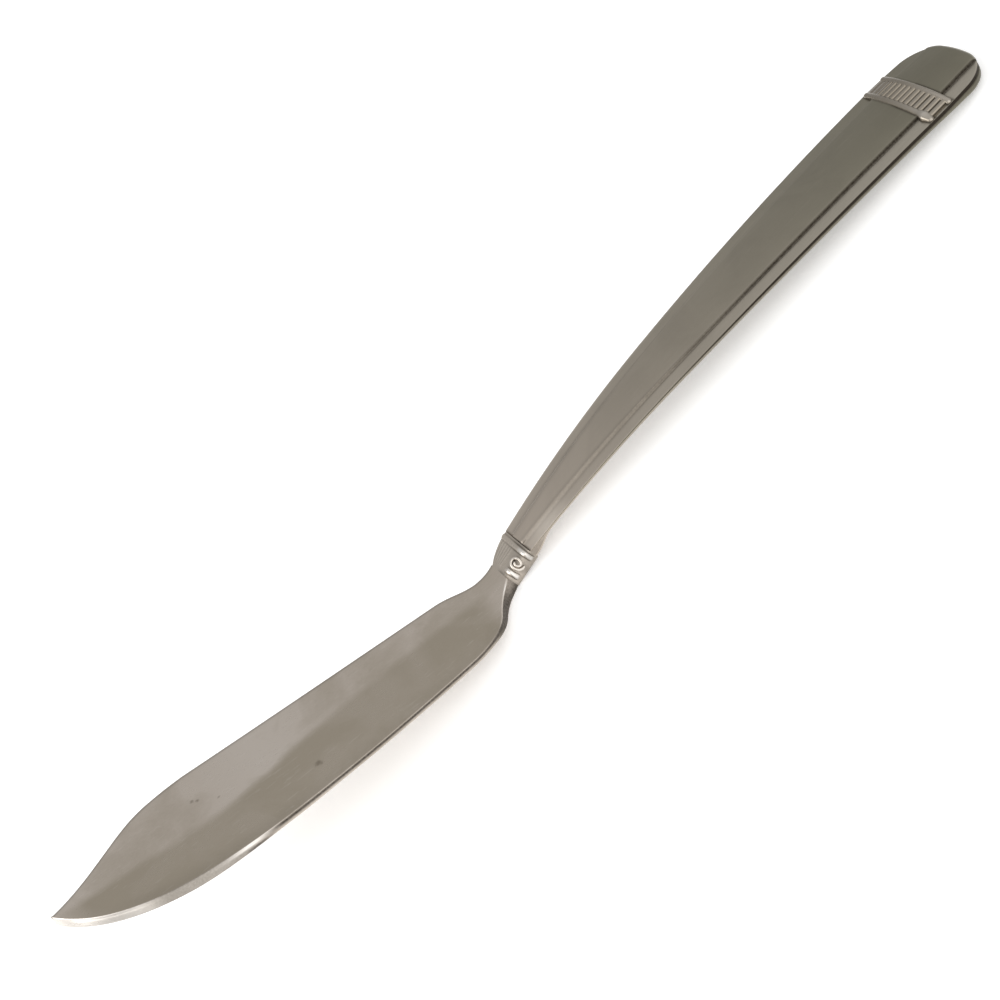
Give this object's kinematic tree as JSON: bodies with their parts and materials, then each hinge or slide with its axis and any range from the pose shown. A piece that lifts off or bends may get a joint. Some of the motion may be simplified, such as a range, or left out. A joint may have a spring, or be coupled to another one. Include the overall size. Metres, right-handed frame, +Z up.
{
  "type": "butter knife",
  "caption": "Butter knife with a broad clipped blade rising from a narrow neck, a ringed collar, and an arched hollow handle with a raised panel and a reeded band.",
  "frame": {"origin": "on the table, under the middle of the knife's bounding box", "axes": "+X from the tip of the blade towards the end of the handle, +Y towards the back of the blade, +Z up from the table"},
  "size_m": [0.1774, 0.0214, 0.0215],
  "materials": {
    "plated_blade": "satin silver plate, slightly tarnished",
    "plated_handle": "satin silver plate, tarnished",
    "plated_trim": "silver plate, bright on the ridges and dark in the grooves",
    "solder": "dark oxidised solder",
    "cement": "set resin cement"
  },
  "bodies": {
    "root": {"blade": "plated_blade", "neck_collar": "plated_trim", "handle_front": "plated_handle", "handle_back": "plated_handle", "seam_solder": "solder", "handle_filler": "cement", "end_reed_strip": "plated_trim", "end_fillet_inner": "plated_trim", "end_fillet_outer": "plated_trim"}
  },
  "joints": []
}
